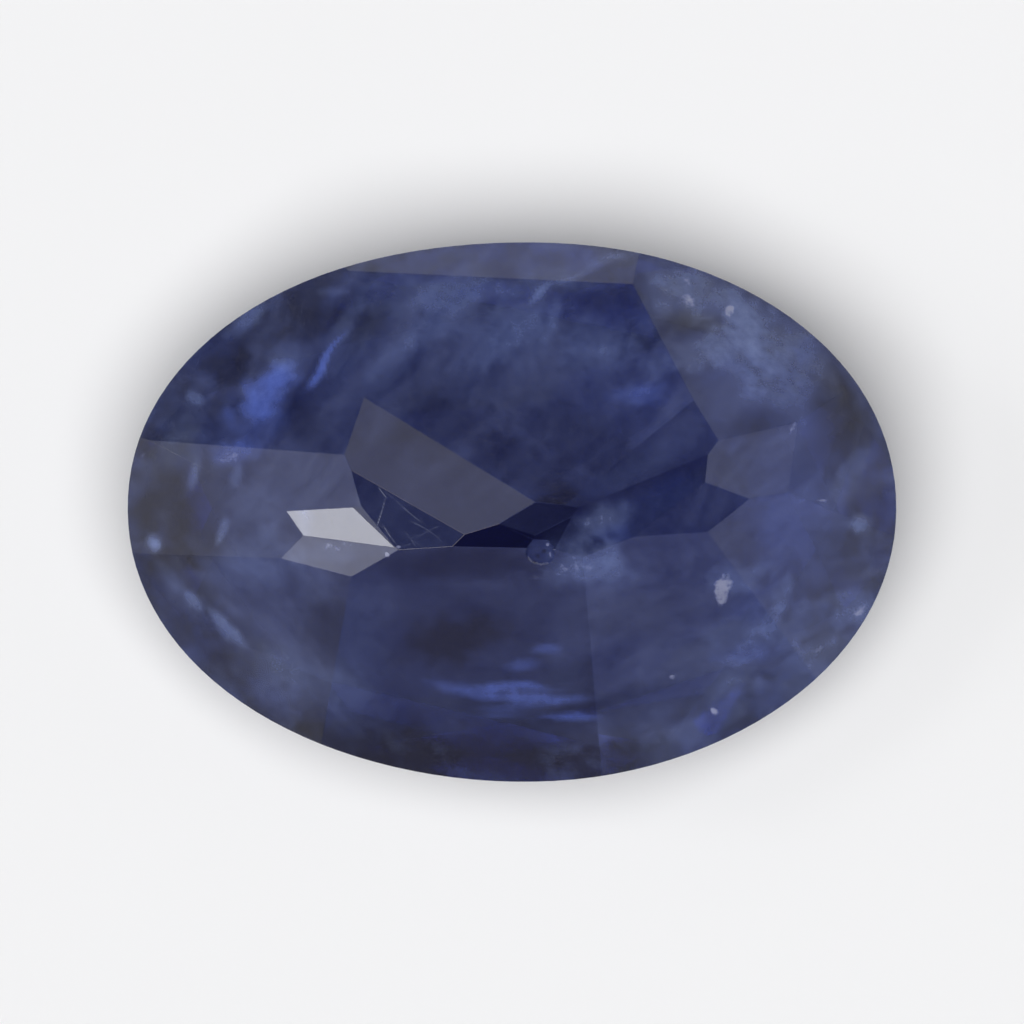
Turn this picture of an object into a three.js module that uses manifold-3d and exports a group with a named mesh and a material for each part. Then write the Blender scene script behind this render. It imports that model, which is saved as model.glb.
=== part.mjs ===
// A natural blue sapphire, cut by hand as an uneven oval, in one piece.
// It lies on its table, the flat face that would look up from a ring, with the keel of its back up.
// Sizes are in millimetres. X runs along the oval, Y across it and Z up.
// The origin is in the middle of the oval, on the plane of the table.

import * as THREE from "three";
import { mergeVertices } from "three/addons/utils/BufferGeometryUtils.js";
import Module from "manifold-3d";

// Driving sizes of the stone
const LENGTH = 11.4;
const WIDTH = 8.0;
const CROWN_HEIGHT = 1.4;
const BACK_BLANK = 3.35;

// The oval outline: a little fuller than an ellipse, with three slight bulges left by the hand that cut it
const OVAL_POWER = 2.06;
const BULGE = 0.033;
const BULGE_COUNT = 3;
const BULGE_AZIMUTH = 45;
const OUTLINE_POINTS = 120;

// The crown: an eight-sided table with its main, star and girdle facets. The girdle facets touch the
// girdle at these parts of the way from one main facet to the next.
const TABLE_LENGTH = 7.5;
const TABLE_WIDTH = 4.7;
const CROWN_SIDES = 8;
const STAR_TIP_HEIGHT = 0.42 * CROWN_HEIGHT;
const GIRDLE_FACET_PLACES = [0.25, 0.75];

// The facets of the back, in the order they were cut. Azimuth is the compass side that a facet faces,
// from +X towards +Y. Tilt is its slope from level. Each facet is cut down until its edge reaches the
// meet point, a place on the surface that the cuts before it left. The outer facets run out to the
// girdle, the upright band around the stone, and leave it thick in places and thin in others.
const BACK_CUTS = [
  { facet: "upper main", azimuth: 94.7, tilt: 31.6, meet: [0, -0.5] },
  { facet: "upper left shoulder", azimuth: 108.1, tilt: 25.5, meet: [-0.93, 0.89] },
  { facet: "keel top", azimuth: 103, tilt: 18.9, meet: [0.56, 0.1] },
  { facet: "keel flat, left", azimuth: 108.8, tilt: 16.4, meet: [-0.45, -0.27] },
  { facet: "lower main", azimuth: 261.4, tilt: 37.9, meet: [-0.4, -0.54] },
  { facet: "left keel side", azimuth: 117, tilt: 22.9, meet: [-1.58, 0.13] },
  { facet: "keel flat, right", azimuth: 99.7, tilt: 15.5, meet: [0.3, -0.45] },
  { facet: "right keel side", azimuth: 51.6, tilt: 12.7, meet: [0.7, -0.4] },
  { facet: "right ridge, lower", azimuth: 332.5, tilt: 27.5, meet: [2.3, 0.01] },
  { facet: "lower right main", azimuth: 304.5, tilt: 41, meet: [1.5, -0.5] },
  { facet: "right end, lower", azimuth: 322, tilt: 42, meet: [3.22, -0.04] },
  { facet: "right ridge, upper", azimuth: 12, tilt: 31.5, meet: [3.14, 0.3] },
  { facet: "right shoulder", azimuth: 92.6, tilt: 30.3, meet: [1.77, 0.9] },
  { facet: "upper right main", azimuth: 63.5, tilt: 44, meet: [2.2, 2.52] },
  { facet: "right end", azimuth: 4.5, tilt: 44, meet: [4.14, 0.8] },
  { facet: "upper left main", azimuth: 129.5, tilt: 36, meet: [-2.36, 1.24] },
  { facet: "left end, upper", azimuth: 147.5, tilt: 29.7, meet: [-4.02, 0.94] },
  { facet: "left sliver, upper", azimuth: 143.2, tilt: 27.3, meet: [-2.33, 0.33] },
  { facet: "left sliver, lower", azimuth: 156.8, tilt: 24.8, meet: [-2, -0.24] },
  { facet: "left ridge, upper", azimuth: 164.2, tilt: 26.1, meet: [-2.08, -0.24] },
  { facet: "left ridge, lower", azimuth: 190.5, tilt: 27, meet: [-2.44, -0.46] },
  { facet: "left end, lower", azimuth: 177.5, tilt: 32, meet: [-3.24, -0.18] },
  { facet: "lower left main", azimuth: 226, tilt: 43, meet: [-2.94, -0.84] },
  { facet: "upper girdle facet", azimuth: 92, tilt: 44, meet: [0.8, 3.4] },
];

// The chip that the keel lost: a round-cornered scoop whose floor leans less than the lower main facet.
// Its floor comes out on the keel's flat at the meet point.
const CHIP = { azimuth: 262, tilt: 27, meet: [0.4, -0.43], centre: [0.4, -0.6], radius: 0.22, sides: 12 };

// What follows from them
const BLANK_TOP = CROWN_HEIGHT + BACK_BLANK;
const UP = new THREE.Vector3(0, 0, 1);

// Working values: the grinding block's side, the distance within which corners are one,
// and the step that finds the outline's direction
const BLOCK_SIZE = 6 * LENGTH;
const SAME_CORNER = 1e-5;
const DIRECTION_STEP = 0.01;

const wasm = await Module();
wasm.setup();

function radians(degrees) {
  return THREE.MathUtils.degToRad(degrees);
}

// A closed three.js geometry as a solid that can be cut
function toSolid(geometry) {
  const bare = geometry.clone();
  bare.deleteAttribute("normal");
  bare.deleteAttribute("uv");
  const merged = mergeVertices(bare, SAME_CORNER);
  return new wasm.Manifold(new wasm.Mesh({
    numProp: 3,
    vertProperties: new Float32Array(merged.attributes.position.array),
    triVerts: new Uint32Array(merged.index.array),
  }));
}

// The cut solid as a three.js geometry again
function toGeometry(solid) {
  const mesh = solid.getMesh();
  const geometry = new THREE.BufferGeometry();
  geometry.setAttribute("position", new THREE.BufferAttribute(new Float32Array(mesh.vertProperties), 3));
  geometry.setIndex(new THREE.BufferAttribute(new Uint32Array(mesh.triVerts), 1));
  geometry.computeVertexNormals();
  return geometry;
}

// Moves a geometry so that its box is centred over the origin. Its height above the table plane stays.
function centred(geometry) {
  geometry.computeBoundingBox();
  const middle = geometry.boundingBox.getCenter(new THREE.Vector3());
  return geometry.translate(-middle.x, -middle.y, 0);
}

// The outline's point at a parameter angle, at a height
function outlinePoint(angle, height) {
  const x = (LENGTH / 2) * Math.cos(angle);
  const y = (WIDTH / 2) * Math.sin(angle);
  const fullness = Math.abs(2 * x / LENGTH) ** OVAL_POWER + Math.abs(2 * y / WIDTH) ** OVAL_POWER;
  const swell = fullness ** (-1 / OVAL_POWER);
  const azimuth = Math.atan2(y, x);
  const bulge = BULGE * Math.cos(BULGE_COUNT * (azimuth - radians(BULGE_AZIMUTH)));
  const reach = Math.hypot(x, y) * swell + bulge;
  return new THREE.Vector3(reach * Math.cos(azimuth), reach * Math.sin(azimuth), height);
}

// The oval block that the facets are cut from
function blank() {
  const outline = new THREE.Shape();
  for (let i = 0; i < OUTLINE_POINTS; i += 1) {
    const point = outlinePoint(2 * Math.PI * i / OUTLINE_POINTS, 0);
    if (i === 0) {
      outline.moveTo(point.x, point.y);
    } else {
      outline.lineTo(point.x, point.y);
    }
  }
  return toSolid(new THREE.ExtrudeGeometry(outline, { depth: BLANK_TOP, bevelEnabled: false }));
}

// Grinds away all that lies beyond a plane: the side that the plane's normal points to
function grind(solid, plane) {
  const waste = new THREE.BoxGeometry(BLOCK_SIZE, BLOCK_SIZE, BLOCK_SIZE);
  waste.translate(0, 0, BLOCK_SIZE / 2);
  waste.applyQuaternion(new THREE.Quaternion().setFromUnitVectors(UP, plane.normal));
  const foot = plane.coplanarPoint(new THREE.Vector3());
  waste.translate(foot.x, foot.y, foot.z);
  return solid.subtract(toSolid(waste));
}

// A plane that faces an azimuth with a tilt from level, through a point
function facetPlane(azimuth, tilt, point) {
  const normal = new THREE.Vector3(
    Math.sin(radians(tilt)) * Math.cos(radians(azimuth)),
    Math.sin(radians(tilt)) * Math.sin(radians(azimuth)),
    Math.cos(radians(tilt)),
  );
  return new THREE.Plane().setFromNormalAndCoplanarPoint(normal, point);
}

// A crown plane through three points, with its normal pointing out, down and away from the stone
function crownPlane(a, b, c) {
  const plane = new THREE.Plane().setFromCoplanarPoints(a, b, c);
  return plane.normal.z > 0 ? plane.negate() : plane;
}

// A crown plane that holds a point and touches the outline at a parameter angle
function touchingPlane(point, angle) {
  const before = outlinePoint(angle - DIRECTION_STEP, 0);
  const after = outlinePoint(angle + DIRECTION_STEP, 0);
  const touch = outlinePoint(angle, CROWN_HEIGHT);
  return crownPlane(point, touch, touch.clone().add(after.sub(before)));
}

// Where two planes cross at a height
function crossing(first, second, height) {
  const a = first.normal;
  const b = second.normal;
  const rightA = -first.constant - a.z * height;
  const rightB = -second.constant - b.z * height;
  const scale = a.x * b.y - a.y * b.x;
  return new THREE.Vector3(
    (rightA * b.y - rightB * a.y) / scale,
    (rightB * a.x - rightA * b.x) / scale,
    height,
  );
}

// The crown's planes: mains from the table's corners, stars on its edges, two girdle facets to each star
function crownPlanes() {
  const side = 2 * Math.PI / CROWN_SIDES;
  const corners = [];
  const mains = [];
  for (let i = 0; i < CROWN_SIDES; i += 1) {
    const angle = i * side;
    const corner = new THREE.Vector3(
      (TABLE_LENGTH / 2) * Math.cos(angle),
      (TABLE_WIDTH / 2) * Math.sin(angle),
      0,
    );
    corners.push(corner);
    mains.push(touchingPlane(corner, angle));
  }
  const planes = [...mains];
  for (let i = 0; i < CROWN_SIDES; i += 1) {
    const next = (i + 1) % CROWN_SIDES;
    const tip = crossing(mains[i], mains[next], STAR_TIP_HEIGHT);
    planes.push(crownPlane(corners[i], corners[next], tip));
    for (const place of GIRDLE_FACET_PLACES) {
      planes.push(touchingPlane(tip, (i + place) * side));
    }
  }
  return planes;
}

function planeHeight({ normal, constant }, x, y) {
  return -(constant + normal.x * x + normal.y * y) / normal.z;
}

// The height of the back's surface over a place, under the planes cut so far
function surfaceHeight(planes, x, y) {
  return Math.min(BLANK_TOP, ...planes.map((plane) => planeHeight(plane, x, y)));
}

function backPlanes() {
  const planes = [];
  for (const { azimuth, tilt, meet } of BACK_CUTS) {
    const point = new THREE.Vector3(meet[0], meet[1], surfaceHeight(planes, meet[0], meet[1]));
    planes.push(facetPlane(azimuth, tilt, point));
  }
  return planes;
}

// Takes the chip out of the keel's crest with a short round bar that stands on the chip's floor
function chipped(solid, planes) {
  const [meetX, meetY] = CHIP.meet;
  const meet = new THREE.Vector3(meetX, meetY, surfaceHeight(planes, meetX, meetY));
  const floor = facetPlane(CHIP.azimuth, CHIP.tilt, meet);
  const [x, y] = CHIP.centre;
  const bar = new THREE.CylinderGeometry(CHIP.radius, CHIP.radius, 2 * CHIP.radius, CHIP.sides);
  bar.rotateX(Math.PI / 2);
  bar.translate(0, 0, CHIP.radius);
  bar.applyQuaternion(new THREE.Quaternion().setFromUnitVectors(UP, floor.normal));
  bar.translate(x, y, planeHeight(floor, x, y));
  return solid.subtract(toSolid(bar));
}

function sapphire() {
  const back = backPlanes();
  let solid = blank();
  for (const plane of [...crownPlanes(), ...back]) {
    solid = grind(solid, plane);
  }
  solid = chipped(solid, back);
  const material = new THREE.MeshStandardMaterial({
    name: "sapphire",
    color: 0x2c3768,
    roughness: 0.1,
    metalness: 0,
    flatShading: true,
  });
  const mesh = new THREE.Mesh(centred(toGeometry(solid)), material);
  mesh.name = "sapphire";
  return mesh;
}

const stone = new THREE.Group();
stone.add(sapphire());

export default stone;
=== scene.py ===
# A natural blue sapphire lying on its table on a pale floor, seen from straight above its keel.
# Lengths in the constants are millimetres, and MM turns them into Blender's metres. Azimuth runs from
# +X towards +Y, and a tilt or a lean is an angle from straight up. Angles in the constants are degrees.

import math
import random

import bmesh
import bpy
import numpy as np
from mathutils import Matrix, Vector
from mathutils.noise import fractal, noise_vector, seed_set


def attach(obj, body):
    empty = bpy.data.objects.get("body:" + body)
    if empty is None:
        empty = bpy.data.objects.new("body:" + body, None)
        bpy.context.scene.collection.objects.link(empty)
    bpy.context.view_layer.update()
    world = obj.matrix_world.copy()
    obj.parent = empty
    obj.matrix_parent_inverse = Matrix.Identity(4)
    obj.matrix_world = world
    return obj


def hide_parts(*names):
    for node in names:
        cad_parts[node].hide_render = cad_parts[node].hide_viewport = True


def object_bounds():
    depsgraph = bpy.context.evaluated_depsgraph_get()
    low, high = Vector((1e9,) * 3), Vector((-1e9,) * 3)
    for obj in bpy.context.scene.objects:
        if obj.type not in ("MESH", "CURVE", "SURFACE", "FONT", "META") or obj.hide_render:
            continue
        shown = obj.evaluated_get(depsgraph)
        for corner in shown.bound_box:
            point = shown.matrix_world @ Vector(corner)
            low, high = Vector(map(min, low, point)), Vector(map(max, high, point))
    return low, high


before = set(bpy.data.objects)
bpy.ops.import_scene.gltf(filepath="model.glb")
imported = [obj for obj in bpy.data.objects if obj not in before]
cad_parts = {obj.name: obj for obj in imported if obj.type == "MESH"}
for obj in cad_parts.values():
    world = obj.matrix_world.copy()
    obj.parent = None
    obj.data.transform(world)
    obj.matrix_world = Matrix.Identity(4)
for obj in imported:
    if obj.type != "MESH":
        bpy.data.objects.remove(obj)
cad_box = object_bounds()

MM = 0.001
NODE = "sapphire"
LENGTH = (cad_box[1].x - cad_box[0].x) / MM
WIDTH = (cad_box[1].y - cad_box[0].y) / MM

# The camera: the photograph shows the stone three quarters of its frame wide, from far away
FRAME_SHARE = 0.75
CAMERA_HEIGHT = 500.0
GIRDLE_HEIGHT = 1.6
SENSOR = 36.0

# What is left to chance follows from this number
SEED = 11

# The crystal
INDEX_OF_REFRACTION = 1.77
ABSORPTION_DENSITY = 350.0
ABSORPTION_COLOUR = (0.11, 0.21, 0.58)

# Worn edges: the widths of the narrow faces along the facet edges. The keel is worn most around one
# place, up to half the reach from it, and the wear fades out over the other half. The edge between two
# facets is thinner than the rest, and one facet has sharp edges all round.
EDGE_WIDTH = 0.005
WORN_EDGE_WIDTH = 0.009
WORN_PLACE = Vector((-1.05, -0.35))
WORN_REACH = 1.1875
THIN_EDGE_WIDTH = 0.003
THIN_EDGE = {"left keel side", "lower main"}
SHARP_FACET = "right keel side"
LEAST_EDGE_ANGLE = 3.5

# A face whose normal's Z is smaller than this belongs to the girdle, the upright band around the stone
GIRDLE_LEAN = 0.05

# How near corners, cuts, planes and directions have to be to count as one
SAME_CORNER = 2e-4
SAME_CUT = 1e-5
SAME_PLANE = 0.005
SAME_DIRECTION = 0.4

# Facets with a finish of their own: the way they face, their brightness, and how scratched they are. The
# brightness is painted shade, which darkens the facet's colour towards a dark blue. A face belongs to one
# if it faces the same way to within SAME_FACET. The crown's facets are all painted with one brightness of
# their own.
FACETS = {
    "upper main": {"azimuth": 94.7, "tilt": 31.6},
    "right shoulder": {"azimuth": 92.6, "tilt": 30.3, "brightness": 0.65},
    "lower main": {"azimuth": 261.4, "tilt": 37.9, "brightness": 0.56},
    "lower left": {"azimuth": 226, "tilt": 43, "brightness": 0.95},
    "lower right": {"azimuth": 304.5, "tilt": 41, "brightness": 0.95},
    "keel shoulder": {"azimuth": 108.1, "tilt": 25.5, "brightness": 0.45},
    "keel top": {"azimuth": 103, "tilt": 18.9, "brightness": 0.25},
    "keel flat left": {"azimuth": 108.8, "tilt": 16.4, "brightness": 0.03},
    "keel flat right": {"azimuth": 99.7, "tilt": 15.5, "brightness": 0.08},
    "chip": {"azimuth": 262, "tilt": 27, "brightness": 0.55, "scratches": 1.0},
    "right keel side": {"azimuth": 51.6, "tilt": 12.7, "brightness": 0.4},
    "right ridge lower": {"azimuth": 332.5, "tilt": 27.5, "brightness": 0.7},
    "right ridge upper": {"azimuth": 12, "tilt": 31.5, "brightness": 0.9},
    "left end": {"azimuth": 177.5, "tilt": 32, "brightness": 0.8},
    "left sliver lower": {"azimuth": 156.8, "tilt": 24.8, "brightness": 0.6},
    "left keel side": {"azimuth": 117, "tilt": 22.9, "brightness": 0.52, "scratches": 1.0},
    "left ridge upper": {"azimuth": 164.2, "tilt": 26.1, "brightness": 0.8, "scratches": 0.6},
    "left ridge lower": {"azimuth": 190.5, "tilt": 27, "brightness": 0.8, "scratches": 0.4},
}
# Painted shade: the one brightness that the crown's facets are painted with
CROWN_PAINTED_BRIGHTNESS = 0.3
SAME_FACET = 0.6

# Fine scratches on the keel: the x and y of the middle, half the length, the turn from +X, and the
# strength. Each fades over the outer half of its length, and is a little uneven along it.
SCRATCH_WIDTH = 0.015
SCRATCH_EVENNESS = 0.8
SCRATCH_LEAST = 0.2
SCRATCHES = [
    (-1.93, -0.03, 0.30, 73, 1.00),
    (-1.91, 0.27, 0.14, -49, 0.80),
    (-1.80, -0.36, 0.20, -56, 1.00),
    (-1.55, 0.02, 0.35, -44, 0.50),
    (-1.25, -0.30, 0.35, -33, 0.50),
    (-2.63, -0.17, 0.14, -77, 0.80),
    (-2.98, -0.12, 0.10, -48, 0.60),
]

# Fainter scratches that lie among them at random, mostly along a few ways that the stone was rubbed
FAINT_SCRATCHES = 60
FAINT_WAYS = (-45, -45, 70, 20)
FAINT_WANDER = 15
FAINT_HALF_LENGTHS = (0.05, 0.30)
FAINT_STRENGTHS = (0.12, 0.50)
SCRATCHED_FROM = (-3.4, -0.9)
SCRATCHED_TO = (-0.8, 0.6)
SCRATCH_GRID = 0.014

# A fractal noise: how fast its finer layers fade, how much finer each is than the one before, and how
# many there are
STREAK_NOISE = (0.6, 2.0, 5)
RAGGED_NOISE = (0.6, 2.0, 3)
BLOTCH_NOISE = (0.5, 2.0, 4)

# Streaks in the crystal: how many to a millimetre along and across them, and the way they run from +X
# in the upper half, at the lower left and at the lower right, each from its own layer of the noise.
# The ways run into each other between two values of y and between two of x.
STREAKS_ALONG = 0.4
STREAKS_ACROSS = 1.2
STREAK_BEND = 0.5
STREAK_BEND_SCALE = 0.55
UPPER_TURN = 52
UPPER_LAYER = 0.0
LOWER_LEFT_TURN = -40
LOWER_LEFT_LAYER = 3.0
LOWER_RIGHT_TURN = 12
LOWER_RIGHT_LAYER = 7.0
UPPER_BETWEEN = (-0.5, 0.5)
LEFT_BETWEEN = (-0.5, -2.0)
MEAN_CLOUD = 0.5
CLOUD_CONTRAST = 0.45

# Near the outline the crystal is blotchy: dark where the blotch noise is high and milky where it is low.
# The first pair is shares of the way from the middle to the outline.
BLOTCHY_BETWEEN = (0.66, 0.95)
BLOTCHES = 1.6
BLOTCH_PLACE = Vector((9, 4, 2))
DARK_BLOTCH = 0.5
DARK_BETWEEN = (-0.2, 0.5)
MILKY_BLOTCH = 0.1
MILKY_BETWEEN = (-0.1, -0.7)

# Marks seen through the crystal's back: inclusions and clouds, and also painted shade and painted light.
# Each
# is a ragged oval: the x and y of its middle, its half length and half width, the turn of its length from
# +X, its strength, and the facet that it stays on, if any. The mesh's corners hold them, on a grid of this
# step.
GRID = 0.05
MARKS = {
    # Milky clouds
    "veil": [
        (0.10, 2.85, 0.50, 0.35, 60, 0.40, None),
        (-0.25, 2.65, 0.45, 0.40, 60, 0.30, None),
        (-0.90, 3.15, 0.60, 0.20, 20, 0.20, None),
        (-2.40, 2.40, 0.60, 0.28, 50, 0.20, None),
        (-1.80, 2.20, 0.50, 0.25, 60, 0.25, None),
        (2.40, 3.15, 0.60, 0.35, -20, 0.35, None),
        (3.60, 2.80, 0.60, 0.35, -35, 0.30, None),
        (2.10, 2.20, 0.30, 0.30, 0, 0.25, None),
        (3.90, 1.80, 0.50, 0.25, 0, 0.25, None),
        (-3.80, 0.00, 0.50, 0.40, 0, 0.20, None),
        (3.20, -2.75, 0.60, 0.35, 40, 0.26, None),
        (3.30, -1.80, 0.50, 0.20, 0, 0.22, None),
        (-2.90, -1.10, 0.40, 0.25, 0, 0.15, None),
        (1.45, -0.62, 0.25, 0.20, 0, 0.30, None),
        (0.34, 2.50, 0.56, 0.30, 60, 0.18, None),
        (1.30, 2.45, 0.60, 0.45, 0, 0.40, "upper main"),
        (-1.00, 2.90, 0.80, 0.35, 50, 0.10, None),
        (0.43, 3.26, 0.25, 0.05, 45, 0.60, None),
        (1.16, 3.62, 0.80, 0.06, 23, 0.35, None),
        (-1.10, 3.30, 1.10, 0.35, 10, 0.18, None),
        (-4.90, 0.95, 0.50, 0.25, 30, 0.18, None),
        (2.05, 0.77, 0.90, 0.27, 35, 0.12, "right shoulder"),
        (3.95, 2.50, 0.95, 0.42, -38, 0.35, None),
        (2.74, 2.38, 0.45, 0.30, 0, 0.42, None),
        (2.90, 3.25, 0.70, 0.35, -25, 0.35, None),
        (3.30, 2.55, 0.60, 0.35, -30, 0.30, None),
        (4.40, -2.30, 0.90, 0.40, 40, 0.30, None),
        (-3.70, -0.70, 0.60, 0.40, 0, 0.30, None),
        (0.85, -0.35, 0.35, 0.22, -10, 0.11, None),
        (5.06, 0.58, 0.50, 0.15, 50, 0.35, None),
        (5.18, -0.13, 0.19, 0.16, 0, 0.60, None),
        (4.00, -1.25, 0.40, 0.12, 62, 0.35, None),
        (1.15, -0.80, 0.60, 0.33, 0, 0.45, None),
        (1.35, -0.15, 0.45, 0.25, 25, 0.38, "right keel side"),
        (1.30, 0.42, 1.10, 0.16, 24, 0.08, "right shoulder"),
        (0.95, -0.45, 0.20, 0.12, 0, 0.26, "right keel side"),
        (-3.05, 0.00, 0.14, 0.35, 0, 0.35, "left ridge upper"),
        (-2.60, -0.55, 0.45, 0.18, 0, 0.18, "left ridge lower"),
        (-1.20, 2.65, 0.50, 0.22, 20, 0.25, None),
        (3.40, 2.30, 0.60, 0.35, -30, 0.35, None),
        (0.55, 2.85, 0.35, 0.12, 60, 0.35, None),
        (0.60, 3.82, 2.20, 0.28, 0, 0.15, None),
        (2.10, 3.05, 0.25, 0.50, -27, 0.22, None),
        (0.55, 3.50, 0.40, 0.20, 0, 0.30, None),
        (-2.45, 2.85, 0.50, 0.14, 55, 0.30, None),
        (3.30, -0.95, 0.50, 0.22, 10, 0.35, None),
        (-5.05, -0.95, 0.30, 0.14, -50, 0.15, None),
        (2.45, -3.45, 0.60, 0.25, 20, 0.20, None),
        (3.00, -2.30, 0.60, 0.40, 30, 0.15, None),
        (2.60, 3.40, 0.80, 0.25, -20, 0.30, None),
        (3.45, 2.75, 0.40, 0.22, -35, 0.40, None),
        (-0.50, 2.40, 0.40, 0.30, 60, 0.22, None),
        (5.15, -1.45, 0.30, 0.25, 0, 0.35, None),
        (4.30, -1.60, 0.70, 0.30, 20, 0.30, None),
        (-3.30, 2.25, 0.30, 0.25, 0, 0.30, None),
        (-4.85, -1.35, 0.40, 0.20, -50, 0.12, None),
        (-0.40, 3.36, 1.70, 0.22, 0, 0.14, "upper main"),
        (-2.45, -2.15, 0.60, 1.50, -10, 0.15, "lower main"),
        (0.85, -2.10, 0.30, 0.90, 0, 0.08, "lower main"),
        (0.42, -0.58, 0.30, 0.20, 0, 0.08, "chip"),
        (-4.90, 1.30, 0.35, 0.18, 30, 0.20, None),
        (-1.30, 3.00, 0.80, 0.18, 0, 0.15, "upper main"),
        (3.60, -1.30, 0.50, 0.40, 0, 0.12, None),
        (5.10, -1.25, 0.35, 0.40, 0, 0.15, None),
        (-3.29, -2.42, 0.80, 0.42, -20, 0.30, None),
        (-4.26, -1.72, 0.40, 0.10, -50, 0.50, None),
        (-4.70, -1.38, 0.20, 0.12, -45, 0.40, None),
        (-5.28, -0.43, 0.12, 0.15, 0, 0.70, None),
        (-4.33, -0.24, 0.20, 0.07, 80, 0.45, None),
        (-4.73, 0.61, 0.24, 0.09, 75, 0.40, None),
        (-4.70, 1.70, 0.11, 0.11, 0, 0.40, None),
        (-4.08, 0.52, 0.14, 0.08, 80, 0.35, None),
        (-2.64, 3.28, 0.21, 0.07, 12, 0.35, None),
        (-3.92, 2.82, 0.38, 0.15, 40, 0.40, None),
    ],
    # Painted light: bright blue patches, where light comes back through the crystal
    "painted_glow": [
        (-3.70, 1.63, 0.34, 0.28, -60, 0.72, None),
        (-3.45, 1.95, 0.32, 0.25, 50, 0.70, None),
        (-4.17, 1.47, 0.17, 0.10, -60, 0.40, None),
        (-2.75, 2.24, 0.50, 0.06, 53, 0.80, None),
        (1.93, 1.75, 0.42, 0.17, 5, 0.40, "upper main"),
        (-3.85, 1.35, 0.50, 0.40, 0, 0.30, None),
        (3.53, -2.05, 0.47, 0.20, 8, 0.40, None),
        (4.15, 0.60, 0.70, 2.20, 0, 0.25, None),
        (-0.55, -2.62, 0.65, 0.11, -4, 0.50, None),
        (0.15, -2.58, 0.55, 0.07, -6, 0.45, None),
        (0.45, -2.76, 0.70, 0.09, -2, 0.45, None),
        (0.00, -2.88, 0.60, 0.07, 2, 0.40, None),
        (0.90, -3.04, 0.45, 0.07, -3, 0.50, None),
        (-0.20, -3.00, 0.40, 0.06, 0, 0.35, None),
        (0.12, -2.27, 0.30, 0.10, 5, 0.32, None),
        (0.50, -2.05, 0.25, 0.08, 0, 0.32, None),
        (2.20, 0.15, 0.75, 0.30, 33, 0.15, "right keel side"),
        (1.55, -0.35, 0.40, 0.18, 10, 0.18, "right keel side"),
        (-4.15, 0.88, 0.32, 0.20, 0, 0.45, None),
        (-2.05, 1.35, 0.35, 0.35, 0, 0.09, "keel shoulder"),
        (3.65, -1.45, 0.35, 0.30, 0, 0.14, None),
        (3.25, 1.70, 0.45, 0.80, 0, 0.22, None),
    ],
    # Painted shade: dark blue places, where the crystal is darkened
    "painted_deep_shade": [
        (1.40, 3.15, 0.60, 0.22, -5, 0.40, "upper main"),
        (-0.15, 3.20, 0.90, 0.20, 0, 0.45, None),
        (1.90, 2.48, 0.45, 0.09, -55, 0.40, "upper main"),
        (0.95, 1.10, 1.40, 0.50, -25, 0.55, None),
        (0.95, 0.35, 0.70, 0.12, 42, 0.40, "upper main"),
        (3.65, 1.33, 0.60, 0.24, 12, 0.66, None),
        (4.88, 1.52, 0.75, 0.42, -62, 0.72, None),
        (3.05, -3.10, 0.45, 0.30, 70, 0.45, None),
        (1.80, -1.50, 0.90, 0.35, 5, 0.35, None),
        (3.35, -0.38, 0.50, 0.35, -55, 0.28, None),
        (-4.10, 2.09, 0.35, 0.20, 45, 0.60, None),
        (-3.05, 1.27, 0.50, 0.40, -30, 0.52, None),
        (-2.73, 2.89, 0.60, 0.22, 25, 0.40, None),
        (-0.90, 1.30, 0.95, 0.55, -30, 0.55, None),
        (0.35, 0.55, 1.00, 0.45, -28, 0.55, "upper main"),
        (-0.60, -0.75, 1.40, 0.28, 0, 0.65, "lower main"),
        (-2.75, -2.10, 1.50, 0.50, 80, 0.48, "lower left"),
    ],
    # Smoky places
    "smoke": [
        (2.67, 2.80, 0.55, 0.16, -5, 0.70, None),
        (4.88, 1.52, 0.75, 0.42, -62, 0.48, None),
        (5.10, -0.96, 0.38, 0.20, 0, 0.40, None),
        (-0.92, -3.60, 1.90, 0.50, -3, 0.95, None),
        (0.35, -3.62, 0.50, 0.38, 0, 0.85, None),
        (-0.85, -1.87, 0.85, 0.38, 15, 0.85, None),
        (0.75, 0.25, 0.50, 0.18, -20, 0.50, None),
        (-3.50, 2.80, 1.10, 0.25, 38, 0.42, None),
        (-4.90, 1.70, 0.50, 0.30, 60, 0.36, None),
        (-2.40, -3.60, 1.70, 0.16, -20, 0.60, None),
        (-0.40, 3.38, 1.70, 0.20, 0, 0.16, "upper main"),
        (-4.85, -0.60, 0.65, 0.30, 0, 0.60, None),
        (-2.50, -3.45, 1.30, 0.22, -22, 0.65, None),
        (1.30, -3.75, 1.10, 0.28, 12, 0.75, None),
        (-5.30, -0.93, 0.28, 0.22, 0, 0.40, None),
        (-4.18, -2.37, 0.45, 0.28, -35, 0.65, None),
        (-4.60, -0.36, 0.30, 0.30, 0, 0.35, None),
        (-4.97, 1.37, 0.35, 0.16, -10, 0.40, None),
        (-5.10, 0.10, 0.90, 0.60, 85, 0.82, None),
        (-5.15, 1.00, 0.45, 0.30, 0, 0.60, None),
        (-3.50, -2.15, 0.45, 0.25, -35, 0.60, None),
        (-2.30, 2.85, 0.45, 0.22, 25, 0.40, None),
        (-0.45, 3.50, 0.35, 0.12, 0, 0.20, None),
        (2.70, 2.95, 0.40, 0.14, -10, 0.30, None),
        (0.50, -2.80, 0.60, 0.20, 0, 0.20, None),
        (0.55, 0.10, 0.28, 0.09, -8, 0.75, "upper main"),
        (-4.85, -1.20, 0.70, 0.50, -50, 0.45, None),
        (-2.10, 2.75, 0.50, 0.16, 55, 0.50, None),
        (4.75, 1.95, 0.35, 0.22, -50, 0.35, None),
        (3.70, 1.20, 0.70, 0.16, 10, 0.12, None),
        (-3.60, -2.40, 0.50, 0.25, -35, 0.40, None),
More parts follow.
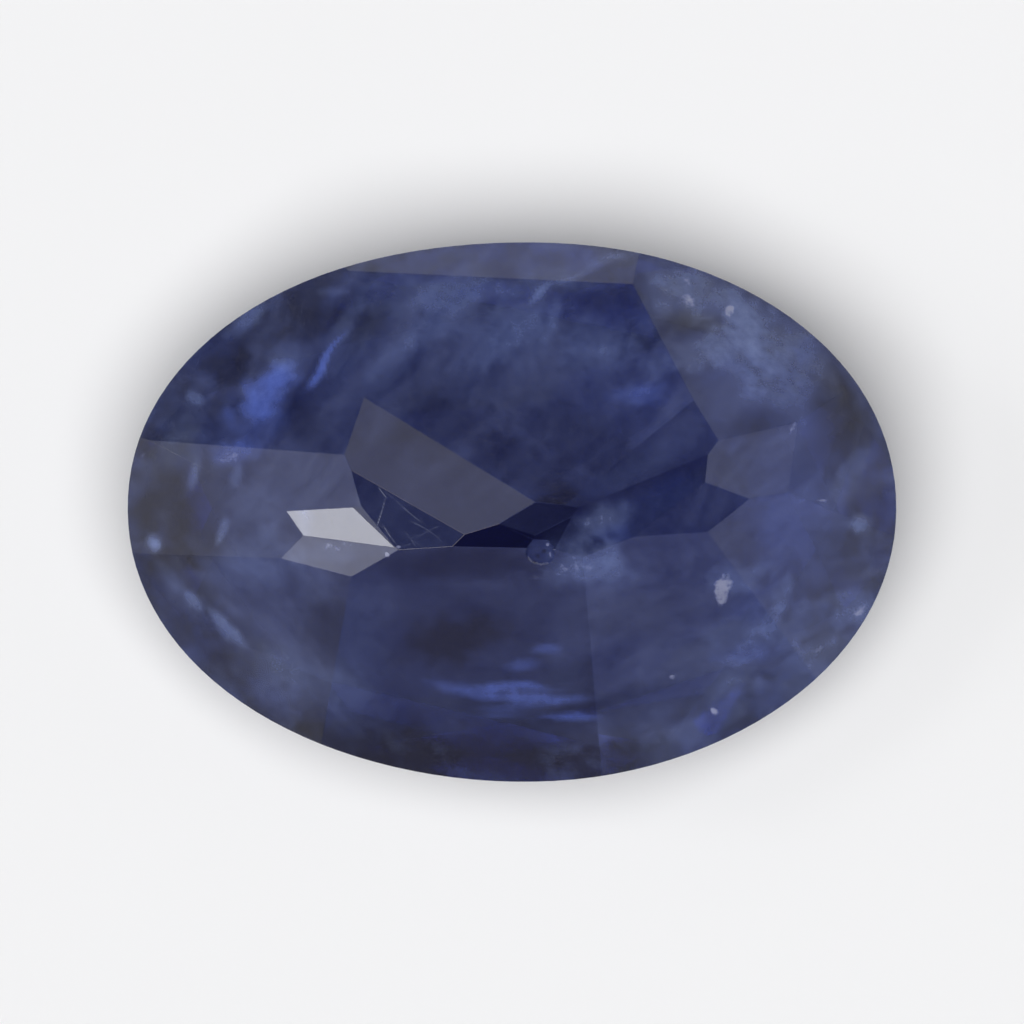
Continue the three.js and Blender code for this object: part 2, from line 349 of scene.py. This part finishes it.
        (-0.80, -3.78, 2.20, 0.28, 0, 0.70, None),
        (-1.40, 3.60, 0.70, 0.20, 0, 0.30, None),
        (-4.90, 0.75, 0.50, 0.22, -10, 0.22, None),
        (0.42, -0.62, 0.05, 0.04, 0, 0.90, "chip"),
        (0.52, -0.56, 0.04, 0.03, 30, 0.90, "chip"),
        (0.36, -0.70, 0.05, 0.03, -20, 0.90, "chip"),
        (-0.50, -1.90, 1.60, 1.10, 0, 0.20, None),
    ],
    # Small white inclusions
    "fleck": [
        (3.12, -1.16, 0.15, 0.26, -8, 0.90, None),
        (-1.68, -0.54, 0.05, 0.03, 0, 0.90, None),
        (-1.84, -0.65, 0.04, 0.04, 0, 0.80, None),
        (-1.51, -0.75, 0.04, 0.06, 0, 0.60, None),
        (0.24, -0.50, 0.03, 0.04, 0, 0.60, "chip"),
        (0.31, -0.43, 0.04, 0.02, 20, 0.60, "chip"),
        (0.57, -0.47, 0.03, 0.03, 0, 0.60, "chip"),
        (0.60, -0.60, 0.02, 0.05, 0, 0.55, "chip"),
        (0.38, -0.80, 0.06, 0.02, 0, 0.55, "chip"),
        (-2.55, -0.48, 0.28, 0.11, 0, 0.52, "left ridge lower"),
        (0.85, -0.80, 0.50, 0.25, 0, 0.45, None),
        (0.35, -0.92, 0.12, 0.08, 0, 0.45, None),
        (1.30, -0.15, 0.35, 0.22, 0, 0.42, None),
        (2.96, -2.95, 0.09, 0.09, 0, 0.80, None),
        (2.34, -2.43, 0.06, 0.06, 0, 0.80, None),
        (4.55, -2.08, 0.07, 0.13, -30, 0.55, None),
        (5.17, -1.43, 0.16, 0.10, 30, 0.60, None),
        (3.84, -2.92, 0.08, 0.08, 0, 0.50, None),
        (2.70, -3.33, 0.09, 0.06, 0, 0.50, None),
        (2.61, 3.15, 0.20, 0.14, -10, 0.70, None),
        (3.18, 3.01, 0.09, 0.11, 0, 0.90, None),
        (2.61, 3.44, 0.15, 0.11, 0, 0.45, None),
        (2.31, 3.28, 0.05, 0.05, 0, 0.60, None),
        (4.60, 0.18, 0.12, 0.05, 0, 0.80, None),
        (4.14, 1.25, 0.05, 0.12, -20, 0.60, None),
        (-4.15, 0.80, 0.17, 0.11, 10, 0.60, None),
        (-5.49, 0.86, 0.10, 0.10, 0, 0.60, None),
        (-1.78, 3.78, 0.23, 0.07, 10, 0.50, None),
    ],
}

# The marks start between these heights, just above the crown. Each fades between two shares of its
# size, its outline is bent and ragged, and some kinds are silky, with streaks of their own.
MARKS_BETWEEN = (1.42, 1.46)
MARK_FADE = (1.4, 0.35)
MARK_BEND = 0.1
MARK_BEND_SCALE = 1.4
RAGGED = 0.3
RAGGED_SCALE = 3.2
SILKY_KINDS = ("veil", "painted_glow")
SILK = 0.35
SILK_BETWEEN = (0.3, -0.5)

# The finish's colours: the clear and the cloudy crystal, the painted shade of the dark blue places, the
# smoky places, the fine dust on the polish, the painted shade that a facet is darkened towards, and the
# other marks, among them the painted glow
COLOURS = {
    "clear": (0.06, 0.09, 0.38, 1),
    "cloudy": (0.19, 0.24, 0.56, 1),
    # Painted shade: the dark blue of the darkened places
    "painted_deep_shade": (0.010, 0.015, 0.10, 1),
    "smoke": (0.024, 0.023, 0.038, 1),
    "dust": (0.18, 0.18, 0.24, 1),
    # Painted shade: the dark blue that a facet is darkened towards by its painted brightness
    "painted_facet_shade": (0.0, 0.002, 0.08, 1),
    # Painted light: the bright blue of the painted glow
    "painted_glow": (0.13, 0.21, 0.78, 1),
    "veil": (0.23, 0.31, 0.66, 1),
    "fleck": (0.27, 0.29, 0.45, 1),
    "scratch": (0.26, 0.28, 0.35, 1),
    "wear": (0.20, 0.18, 0.22, 1),
}
DUST_SHARE = 0.55

# How milky the crystal is, and how much each mark adds to it
CLEAR_MILK = 0.18
MILK = {
    "cloud": 0.16,
    "veil": 0.4,
    "painted_glow": 0.45,
    "smoke": 0.1,
    "fleck": 0.5,
    "wear": 0.25,
    "scratch": 0.4,
    "dust": 0.06,
}

# How rough the polish is, and how much each mark adds to it
POLISH_ROUGHNESS = 0.03
ROUGHNESS = {
    "frost": 0.6,
    "wear": 0.25,
    "smoke": 0.1,
    "veil": 0.2,
    "scratch": 0.3,
}

# The noises of the finish: the grain, which mottles the marks and makes the flecks ragged, and the fine
# one, which makes the dust and the bumps. The scales are to a millimetre.
GRAIN_SCALE = 7.0
GRAIN_DETAIL = 4.0
GRAIN_ROUGHNESS = 0.65
GRAIN_BETWEEN = (0.3, 0.7)
MOTTLED = (0.94, 1.06)
GRAIN_IN_CLOUD = 0.5
GRAIN_IN_FLECK = 1.3
FLECK_BETWEEN = (1.05, 1.6)
FINE_SCALE = 45.0
FINE_DETAIL = 2.0
DUST_BETWEEN = (0.45, 0.8)
POLISH_BUMPS = 0.001
FROST_BUMPS = 0.15
BUMP_DEPTH = 0.03

# The floor: a pale card a hair below the stone
FLOOR_HALF_SIDE = 1000.0
FLOOR_GAP = 0.02
FLOOR_COLOUR = (0.86, 0.86, 0.87, 1.0)
FLOOR_ROUGHNESS = 0.9
FLOOR_SHINE = 0.1

# The studio: a dark tent, paler near the horizon, with soft lamps. Each lamp is a round patch of the
# sky with a soft rim.
TENT_BRIGHTNESS = 0.05
HORIZON_BRIGHTNESS = 0.3
HORIZON_LEAN = 74
LAMPS = [
    {"name": "key", "azimuth": 255, "lean": 10, "radius": 29, "rim": 4, "strength": 3.4},
    {"name": "left ridge lamp", "azimuth": 166, "lean": 52.5, "radius": 4.6, "rim": 3.6, "strength": 4.4},
    {"name": "left lower panel", "azimuth": 194, "lean": 55, "radius": 9, "rim": 4, "strength": 1.4},
    {"name": "shoulder panel", "azimuth": 107, "lean": 53, "radius": 3.5, "rim": 3, "strength": 0.5},
    {"name": "lower panel", "azimuth": 261, "lean": 76, "radius": 7, "rim": 5, "strength": 0.12},
    {"name": "sliver panel", "azimuth": 143, "lean": 54.6, "radius": 2, "rim": 2, "strength": 0.55},
    {"name": "right lower panel", "azimuth": 324, "lean": 84, "radius": 7, "rim": 5, "strength": 0.1},
    {"name": "upper panel", "azimuth": 92, "lean": 86, "radius": 9, "rim": 5, "strength": 0.2},
    {"name": "left end panel", "azimuth": 163, "lean": 66, "radius": 15, "rim": 6, "strength": 0.45},
    {"name": "right end panel", "azimuth": 12, "lean": 63, "radius": 10, "rim": 5, "strength": 0.4},
]


def direction(azimuth, lean):
    """The unit vector that points to an azimuth at a lean from straight up."""
    a = math.radians(azimuth)
    t = math.radians(lean)
    return Vector((math.sin(t) * math.cos(a), math.sin(t) * math.sin(a), math.cos(t)))


# Shader nodes

def add_node(tree, kind, inputs=None, **settings):
    """Adds a shader node. An input is a value, or another node's socket to link."""
    node = tree.nodes.new(kind)
    for name, value in settings.items():
        setattr(node, name, value)
    for name, value in (inputs or {}).items():
        if isinstance(value, bpy.types.NodeSocket):
            tree.links.new(value, node.inputs[name])
        else:
            node.inputs[name].default_value = value
    return node


def maths(tree, operation, first, second, clamp=False):
    node = add_node(tree, "ShaderNodeMath", {0: first, 1: second}, operation=operation, use_clamp=clamp)
    return node.outputs[0]


def multiplied_and_added(tree, value, factor, addend):
    node = add_node(tree, "ShaderNodeMath", {0: value, 1: factor, 2: addend}, operation="MULTIPLY_ADD")
    return node.outputs[0]


def weighted_sum(tree, values, weights, start):
    """A number plus each named value times its weight, kept between 0 and 1."""
    total = start
    for name, weight in weights.items():
        total = multiplied_and_added(tree, values[name], weight, total)
    total.node.use_clamp = True
    return total


def dot_product(tree, first, second):
    node = add_node(tree, "ShaderNodeVectorMath", {0: first, 1: second}, operation="DOT_PRODUCT")
    return node.outputs["Value"]


def scaled(tree, vector, factor):
    inputs = {0: vector, "Scale": factor}
    return add_node(tree, "ShaderNodeVectorMath", inputs, operation="SCALE").outputs[0]


def ramp(tree, value, low, high, start=0.0, end=1.0):
    """A smooth step from start to end, as value goes from low to high."""
    inputs = {"Value": value, "From Min": low, "From Max": high, "To Min": start, "To Max": end}
    return add_node(tree, "ShaderNodeMapRange", inputs, interpolation_type="SMOOTHSTEP").outputs["Result"]


def mixed(tree, share, first, second):
    """A colour mix: first where share is 0, second where it is 1."""
    inputs = {0: share, 6: first, 7: second}
    return add_node(tree, "ShaderNodeMix", inputs, data_type="RGBA").outputs[2]


def noise(tree, position, scale, detail, roughness=0.5):
    inputs = {"Vector": position, "Scale": scale, "Detail": detail, "Roughness": roughness}
    return add_node(tree, "ShaderNodeTexNoise", inputs).outputs["Fac"]


def attribute(tree, name):
    return add_node(tree, "ShaderNodeAttribute", attribute_name=name).outputs["Fac"]


# The stone's shape

def stone_shape():
    """The CAD solid in millimetres, with each facet as one polygon."""
    shape = bmesh.new()
    shape.from_mesh(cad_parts[NODE].data)
    shape.transform(Matrix.Scale(1 / MM, 4))
    bmesh.ops.remove_doubles(shape, verts=shape.verts, dist=SAME_CORNER)
    bmesh.ops.dissolve_degenerate(shape, edges=shape.edges, dist=SAME_CORNER)
    flat = math.radians(SAME_DIRECTION)
    bmesh.ops.dissolve_limit(shape, angle_limit=flat, verts=shape.verts, edges=shape.edges)
    bmesh.ops.recalc_face_normals(shape, faces=shape.faces)
    shape.normal_update()
    return shape


def outermost(face, corners):
    """True for a facet that no part of the stone stands beyond, which leaves out the chip's walls."""
    origin = face.verts[0].co
    return all((corner - origin).dot(face.normal) < SAME_PLANE for corner in corners)


def edge_planes(shape):
    """A narrow plane for every worn edge between two facets, as a point and a normal."""
    corners = [vertex.co for vertex in shape.verts]
    facets = {face for face in shape.faces if abs(face.normal.z) > GIRDLE_LEAN and outermost(face, corners)}
    planes = []
    for edge in shape.edges:
        if not facets.issuperset(edge.link_faces):
            continue
        names = {facet_name(face.normal) for face in edge.link_faces}
        if SHARP_FACET in names:
            continue
        first, second = (face.normal for face in edge.link_faces)
        angle = first.angle(second)
        if angle < math.radians(LEAST_EDGE_ANGLE):
            continue
        middle = (edge.verts[0].co + edge.verts[1].co) / 2
        worn = worn_share(middle)
        width = WORN_EDGE_WIDTH * worn + EDGE_WIDTH * (1 - worn)
        if names == THIN_EDGE:
            width = THIN_EDGE_WIDTH
        normal = (first + second).normalized()
        planes.append((middle - normal * (width / 2) * math.tan(angle / 2), normal))
    return planes


def worn_share(point):
    """1 on the most worn part of the keel, down to 0 away from it."""
    if point.z < GIRDLE_HEIGHT:
        return 0.0
    away = (point.xy - WORN_PLACE).length / WORN_REACH
    return max(0.0, min(1.0, 2 * (1 - away)))


def cut_along(shape, parts, point, normal, **settings):
    """Cuts some parts of a shape along a plane."""
    return bmesh.ops.bisect_plane(
        shape, geom=parts, dist=SAME_CUT, plane_co=point, plane_no=normal, **settings
    )


def all_parts(shape):
    return shape.verts[:] + shape.edges[:] + shape.faces[:]


def plane_off(shape, point, normal, wear):
    """Grinds the shape down to a plane, closes it there and marks the new face as worn."""
    cut = cut_along(shape, all_parts(shape), point, normal, clear_outer=True)
    rim = [part for part in cut["geom_cut"] if isinstance(part, bmesh.types.BMEdge)]
    if rim:
        made = bmesh.ops.edgeloop_fill(shape, edges=rim)
        for face in made["faces"]:
            face[wear] = 1.0


def grid_planes(corners, step):
    """The upright planes of a square grid over some corners, each as a point and a normal."""
    for axis in (0, 1):
        places = [corner.co[axis] for corner in corners]
        across = Vector()
        across[axis] = 1
        for place in np.arange(min(places) + step / 2, max(places), step):
            yield across * place, across


def scratched_parts(shape):
    """The corners, edges and faces of the facets that have scratches, each in a fixed order."""
    scratches = shape.faces.layers.float["scratches"]
    faces = [face for face in shape.faces if face[scratches] > 0]
    edges = dict.fromkeys(edge for face in faces for edge in face.edges)
    corners = dict.fromkeys(vertex for face in faces for vertex in face.verts)
    return [*corners], [*edges], faces


def split_fine(shape):
    """Splits the facets along two grids seen from above, which leaves them as flat as before."""
    for point, normal in list(grid_planes(scratched_parts(shape)[0], SCRATCH_GRID)):
        cut_along(shape, sum(scratched_parts(shape), []), point, normal)
    for point, normal in list(grid_planes(shape.verts, GRID)):
        cut_along(shape, all_parts(shape), point, normal)


def facet_number(normal):
    """The number of the named facet that faces this way, or -1."""
    for number, facet in enumerate(FACETS.values()):
        if math.degrees(normal.angle(direction(facet["azimuth"], facet["tilt"]))) < SAME_FACET:
            return number
    return -1


def facet_name(normal):
    """The name of the named facet that faces this way, or nothing."""
    number = facet_number(normal)
    return list(FACETS)[number] if number >= 0 else ""


def finish_faces(shape):
    """Gives every facet the values that its finish needs."""
    layers = shape.faces.layers
    numbers = layers.int.new("facet")
    brightness = layers.float.new("brightness")
    scratches = layers.float.new("scratches")
    frosted = layers.float.new("frost")
    for face in shape.faces:
        face[numbers] = facet_number(face.normal)
        facet = list(FACETS.values())[face[numbers]] if face[numbers] >= 0 else {}
        # Painted shade: how bright each facet is painted, with the crown's facets all alike and the girdle
        # at full brightness
        face[brightness] = facet.get("brightness", CROWN_PAINTED_BRIGHTNESS if face.normal.z < -GIRDLE_LEAN else 1.0)
        face[scratches] = facet.get("scratches", 0.0)
        face[frosted] = float(abs(face.normal.z) < GIRDLE_LEAN)
        face.smooth = False


def between(value, low, high):
    """A smooth step from 0 to 1 as value, a number or an array, goes from low to high."""
    share = np.clip((value - low) / (high - low), 0, 1)
    return share * share * (3 - 2 * share)


def turned(x, y, degrees):
    """The distances along and across a line at an angle from +X."""
    cosine = math.cos(math.radians(degrees))
    sine = math.sin(math.radians(degrees))
    return x * cosine + y * sine, y * cosine - x * sine


def streaks(place, degrees, layer):
    """A noise, mostly from -1 to 1, that is drawn out along a line at an angle from +X."""
    bent = place + noise_vector(place * STREAK_BEND_SCALE) * STREAK_BEND
    along, across = turned(bent[0], bent[1], degrees)
    return fractal(Vector((along * STREAKS_ALONG, across * STREAKS_ACROSS, layer)), *STREAK_NOISE)


def streaky_cloud(place):
    """How cloudy the crystal is at a place, from 0 to 1."""
    upper = between(place[1], *UPPER_BETWEEN)
    left = between(place[0], *LEFT_BETWEEN)
    lower_left = streaks(place, LOWER_LEFT_TURN, LOWER_LEFT_LAYER)
    lower_right = streaks(place, LOWER_RIGHT_TURN, LOWER_RIGHT_LAYER)
    lower = left * lower_left + (1 - left) * lower_right
    streak = upper * streaks(place, UPPER_TURN, UPPER_LAYER) + (1 - upper) * lower
    return MEAN_CLOUD + CLOUD_CONTRAST * streak


def values_of(parts, name, kind=float):
    """One value of each part of a mesh, as an array."""
    values = np.empty(len(parts), dtype=kind)
    parts.foreach_get(name, values)
    return values


def face_value_at_corners(mesh, name, kind=float):
    """A value that the mesh's faces hold, at each of their corners."""
    values = values_of(mesh.attributes[name].data, "value", kind)
    return np.repeat(values, values_of(mesh.polygons, "loop_total", int))


def store_at_corners(mesh, name, values):
    mesh.attributes.new(name, "FLOAT", "CORNER").data.foreach_set("value", values)


def mark_share(mark, kind, places, rough):
    """How strong one mark is at each place, apart from the facet that it stays on."""
    x, y, length, width, turn, strength = mark[:-1]
    along, across = turned(places[:, 0] - x, places[:, 1] - y, turn)
    away = np.hypot(along / length, across / width) + RAGGED * rough
    share = strength * between(away, *MARK_FADE)
    if kind in SILKY_KINDS:
        for index in np.flatnonzero(share):
            silk = streaks(Vector(places[index]), turn, x)
            share[index] *= 1 - SILK * between(silk, *SILK_BETWEEN)
    return share


def scratch_list():
    """The seen scratches, and faint ones at random places and turns."""
    draw = random.Random(SEED)
    faint = []
    for _ in range(FAINT_SCRATCHES):
        x = draw.uniform(SCRATCHED_FROM[0], SCRATCHED_TO[0])
        y = draw.uniform(SCRATCHED_FROM[1], SCRATCHED_TO[1])
        turn = draw.choice(FAINT_WAYS) + draw.uniform(-FAINT_WANDER, FAINT_WANDER)
        half = draw.uniform(*FAINT_HALF_LENGTHS)
        strength = draw.uniform(*FAINT_STRENGTHS)
        faint.append((x, y, half, turn, strength))
    return SCRATCHES + faint


def add_scratches(mesh, places, rough):
    """Stores on the mesh's corners how scratched it is there."""
    uneven = np.clip(SCRATCH_EVENNESS + rough, SCRATCH_LEAST, 1)
    total = np.zeros(len(places))
    for x, y, half, turn, strength in scratch_list():
        along, across = turned(places[:, 0] - x, places[:, 1] - y, turn)
        line = between(np.abs(across), SCRATCH_WIDTH, 0) * between(np.abs(along), half, half / 2)
        total = np.maximum(total, line * strength * uneven)
    corners = values_of(mesh.loops, "vertex_index", int)
    store_at_corners(mesh, "scratch", total[corners] * face_value_at_corners(mesh, "scratches"))


def add_marks(mesh):
    """Stores on the mesh's corners how strong each kind of mark is there, and how cloudy it is."""
    places = np.empty((len(mesh.vertices), 3))
    rough = np.empty(len(mesh.vertices))
    cloud = np.empty(len(mesh.vertices))
    blotch = np.empty(len(mesh.vertices))
    for vertex in mesh.vertices:
        place = vertex.co / MM
        places[vertex.index] = place + noise_vector(place * MARK_BEND_SCALE) * MARK_BEND
        rough[vertex.index] = fractal(place * RAGGED_SCALE, *RAGGED_NOISE)
        cloud[vertex.index] = streaky_cloud(place)
        blotch[vertex.index] = fractal(place * BLOTCHES + BLOTCH_PLACE, *BLOTCH_NOISE)
    add_scratches(mesh, places, rough)
    corners = values_of(mesh.loops, "vertex_index", int)
    facets = face_value_at_corners(mesh, "facet", int)
    names = list(FACETS)
    above_crown = between(places[:, 2], *MARKS_BETWEEN)
    from_middle = np.hypot(places[:, 0] / (LENGTH / 2), places[:, 1] / (WIDTH / 2))
    blotchy = between(from_middle, *BLOTCHY_BETWEEN)
    nothing = np.zeros(len(places))
    spread = {
        "cloud": cloud,
        "smoke": DARK_BLOTCH * blotchy * between(blotch, *DARK_BETWEEN),
        "veil": MILKY_BLOTCH * blotchy * between(blotch, *MILKY_BETWEEN),
    }
    for kind in [*MARKS, "cloud"]:
        clear = 1 - spread.get(kind, nothing)[corners]
        for mark in MARKS.get(kind, []):
            share = (mark_share(mark, kind, places, rough) * above_crown)[corners]
            own_facet = mark[-1]
            if own_facet:
                share[facets != names.index(own_facet)] = 0
            clear *= 1 - share
        store_at_corners(mesh, kind, 1 - clear)


def make_stone():
    shape = stone_shape()
    wear = shape.faces.layers.float.new("wear")
    for point, normal in edge_planes(shape):
        plane_off(shape, point, normal, wear)
    shape.normal_update()
    for face in shape.faces:
        face[wear] *= worn_share(face.calc_center_median())
    finish_faces(shape)
    split_fine(shape)
    shape.transform(Matrix.Scale(MM, 4))
    mesh = bpy.data.meshes.new("sapphire_stone")
    shape.to_mesh(mesh)
    shape.free()
    add_marks(mesh)
    stone = bpy.data.objects.new("sapphire_stone", mesh)
    bpy.context.scene.collection.objects.link(stone)
    mesh.materials.append(crystal_material())
    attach(stone, "root")
    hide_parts(NODE)
    return stone


# The crystal's finish

def finish_values(tree):
    """The values that the finish is made of, by name: what the mesh holds, and the noises over it."""
    place = scaled(tree, add_node(tree, "ShaderNodeTexCoord").outputs["Object"], 1 / MM)
    values = {name: attribute(tree, name) for name in ("wear", "frost", "brightness", "scratch", *MARKS)}
    grain = noise(tree, place, GRAIN_SCALE, GRAIN_DETAIL, GRAIN_ROUGHNESS)
    mottle = ramp(tree, grain, *GRAIN_BETWEEN, *MOTTLED)
    for name in ("veil", "painted_glow", "smoke"):
        values[name] = maths(tree, "MULTIPLY", values[name], mottle)
    parts = {"streaks": attribute(tree, "cloud"), "grain": grain}
    weights = {"streaks": 1.0, "grain": GRAIN_IN_CLOUD}
    values["cloud"] = weighted_sum(tree, parts, weights, -GRAIN_IN_CLOUD / 2)
    ragged = multiplied_and_added(tree, grain, GRAIN_IN_FLECK, values["fleck"])
    values["fleck"] = ramp(tree, ragged, *FLECK_BETWEEN)
    values["fine"] = noise(tree, place, FINE_SCALE, FINE_DETAIL)
    values["dust"] = ramp(tree, values["fine"], *DUST_BETWEEN)
    return values


def crystal_colour(tree, values):
    """The crystal's own colour, then what lies over it one after another, painted shade and a painted glow
    among it.
    """
    colour = mixed(tree, values["cloud"], COLOURS["clear"], COLOURS["cloudy"])
    # Painted shade in the dark blue places, then the smoky places
    for name in ("painted_deep_shade", "smoke"):
        colour = mixed(tree, values[name], colour, COLOURS[name])
    colour = mixed(tree, maths(tree, "MULTIPLY", values["dust"], DUST_SHARE), colour, COLOURS["dust"])
    # Painted shade: each facet's colour darkened towards a dark blue by its painted brightness
    colour = mixed(tree, values["brightness"], COLOURS["painted_facet_shade"], colour)
    # Painted light: the bright blue glow, then the milky clouds, flecks, scratches and worn edges
    for name in ("painted_glow", "veil", "fleck", "scratch", "wear"):
        colour = mixed(tree, values[name], colour, COLOURS[name])
    return colour


def fine_bumps(tree, values):
    """Very slight bumps on the polish, and deeper ones on the ground girdle."""
    strength = weighted_sum(tree, values, {"frost": FROST_BUMPS}, POLISH_BUMPS)
    height = maths(tree, "MULTIPLY", values["fine"], strength)
    inputs = {"Strength": 1.0, "Distance": BUMP_DEPTH * MM, "Height": height}
    return add_node(tree, "ShaderNodeBump", inputs).outputs[0]


def crystal_material():
    material = bpy.data.materials.new("sapphire_crystal")
    material.use_nodes = True
    tree = material.node_tree
    tree.nodes.clear()
    values = finish_values(tree)
    milk = weighted_sum(tree, values, MILK, CLEAR_MILK)
    shader = add_node(tree, "ShaderNodeBsdfPrincipled", {
        "Base Color": crystal_colour(tree, values),
        "Roughness": weighted_sum(tree, values, ROUGHNESS, POLISH_ROUGHNESS),
        "IOR": INDEX_OF_REFRACTION,
        "Transmission Weight": maths(tree, "SUBTRACT", 1.0, milk, clamp=True),
        "Normal": fine_bumps(tree, values),
    })
    inside = add_node(tree, "ShaderNodeVolumeAbsorption", {
        "Color": (*ABSORPTION_COLOUR, 1.0),
        "Density": ABSORPTION_DENSITY,
    })
    out = add_node(tree, "ShaderNodeOutputMaterial")
    tree.links.new(shader.outputs[0], out.inputs["Surface"])
    tree.links.new(inside.outputs[0], out.inputs["Volume"])
    return material


# The studio

def make_floor():
    mesh = bpy.data.meshes.new("floor")
    half = FLOOR_HALF_SIDE * MM
    height = -FLOOR_GAP * MM
    corners = [(-half, -half, height), (half, -half, height), (half, half, height), (-half, half, height)]
    mesh.from_pydata(corners, [], [(0, 1, 2, 3)])
    floor = bpy.data.objects.new("floor", mesh)
    bpy.context.scene.collection.objects.link(floor)
    material = bpy.data.materials.new("floor_card")
    material.use_nodes = True
    shader = material.node_tree.nodes["Principled BSDF"]
    shader.inputs["Base Color"].default_value = FLOOR_COLOUR
    shader.inputs["Roughness"].default_value = FLOOR_ROUGHNESS
    shader.inputs["Specular IOR Level"].default_value = FLOOR_SHINE
    mesh.materials.append(material)


def make_tent():
    world = bpy.data.worlds.new("studio")
    bpy.context.scene.world = world
    world.use_nodes = True
    tree = world.node_tree
    tree.nodes.clear()
    looking = add_node(tree, "ShaderNodeTexCoord").outputs["Generated"]
    up = dot_product(tree, looking, (0, 0, 1))
    brightness = ramp(tree, up, 0.0, math.cos(math.radians(HORIZON_LEAN)), HORIZON_BRIGHTNESS, TENT_BRIGHTNESS)
    for lamp in LAMPS:
        towards = direction(lamp["azimuth"], lamp["lean"])
        near = dot_product(tree, looking, towards)
        inner = math.cos(math.radians(lamp["radius"]))
        outer = math.cos(math.radians(lamp["radius"] + lamp["rim"]))
        patch = ramp(tree, near, outer, inner, 0.0, lamp["strength"])
        brightness = maths(tree, "ADD", patch, brightness)
    background = add_node(tree, "ShaderNodeBackground", {"Color": (1, 1, 1, 1), "Strength": brightness})
    out = add_node(tree, "ShaderNodeOutputWorld")
    tree.links.new(background.outputs[0], out.inputs["Surface"])


def make_camera():
    data = bpy.data.cameras.new("camera")
    camera = bpy.data.objects.new("camera", data)
    bpy.context.scene.collection.objects.link(camera)
    camera.location = (0.0, 0.0, (GIRDLE_HEIGHT + CAMERA_HEIGHT) * MM)
    data.sensor_width = SENSOR
    data.lens = SENSOR * CAMERA_HEIGHT * FRAME_SHARE / LENGTH
    bpy.context.scene.camera = camera


seed_set(SEED)
make_camera()
make_floor()
make_tent()
make_stone()
bpy.context.scene.view_settings.view_transform = "Standard"
